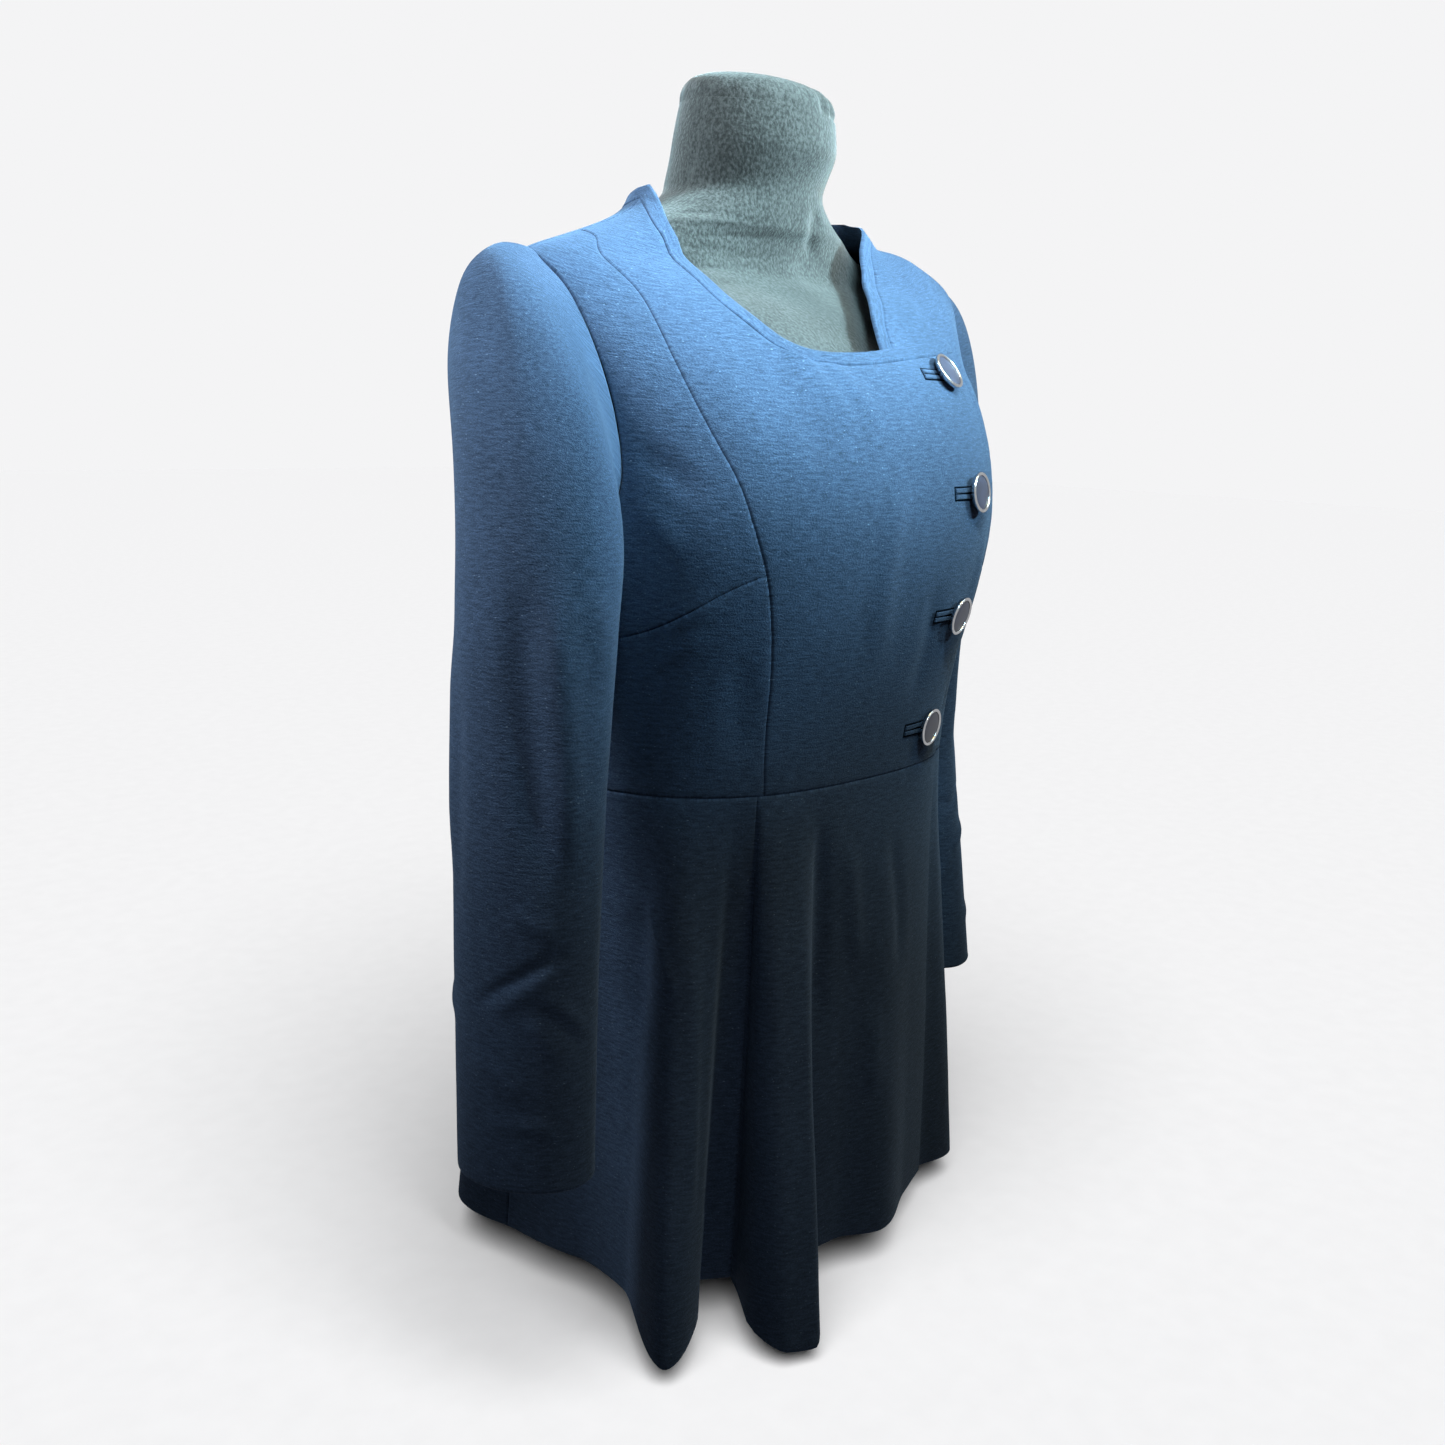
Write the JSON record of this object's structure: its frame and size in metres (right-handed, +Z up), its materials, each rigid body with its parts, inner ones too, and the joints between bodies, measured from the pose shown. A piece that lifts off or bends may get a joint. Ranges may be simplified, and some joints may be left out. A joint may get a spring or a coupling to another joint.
{
  "type": "asymmetric coat on dress form",
  "caption": "Fitted asymmetric coat with a curved collarless neckline, side closing and pleated skirt, worn on a low limbless dress form.",
  "frame": {"origin": "centre of the base plate's underside, on the floor below the dress form's post", "axes": "+Z up, the coat's front faces -Y, its wearer's left is at +X"},
  "size_m": [0.5952, 0.403, 0.8948],
  "materials": {
    "navy_crepe": "matte slubbed crepe weave",
    "black_jersey": "matte knitted jersey",
    "painted_steel": "satin dark paint",
    "silver_plate": "polished silver-coloured plate",
    "navy_enamel": "semi-gloss dark blue enamel"
  },
  "bodies": {
    "root": {"front_right_centre": "navy_crepe", "front_right_upper_side": "navy_crepe", "front_right_lower_side": "navy_crepe", "front_left_centre": "navy_crepe", "front_left_upper_side": "navy_crepe", "front_left_lower_side": "navy_crepe", "back_right": "navy_crepe", "back_left": "navy_crepe", "neck_band": "navy_crepe", "skirt_back_right": "navy_crepe", "skirt_side_right": "navy_crepe", "skirt_front_right": "navy_crepe", "skirt_front_left": "navy_crepe", "skirt_side_left": "navy_crepe", "skirt_back_left": "navy_crepe", "sleeve_right_upper": "navy_crepe", "sleeve_right_under": "navy_crepe", "sleeve_left_upper": "navy_crepe", "sleeve_left_under": "navy_crepe", "form_body": "black_jersey", "form_neck_cap": "black_jersey", "form_post": "painted_steel", "form_base": "painted_steel", "button_1_body": "silver_plate", "button_2_body": "silver_plate", "button_3_body": "silver_plate", "button_4_body": "silver_plate", "button_1_inlay": "navy_enamel", "button_2_inlay": "navy_enamel", "button_3_inlay": "navy_enamel", "button_4_inlay": "navy_enamel", "buttonhole_1_upper": "navy_crepe", "buttonhole_1_lower": "navy_crepe", "buttonhole_2_upper": "navy_crepe", "buttonhole_2_lower": "navy_crepe", "buttonhole_3_upper": "navy_crepe", "buttonhole_3_lower": "navy_crepe", "buttonhole_4_upper": "navy_crepe", "buttonhole_4_lower": "navy_crepe"}
  },
  "joints": []
}
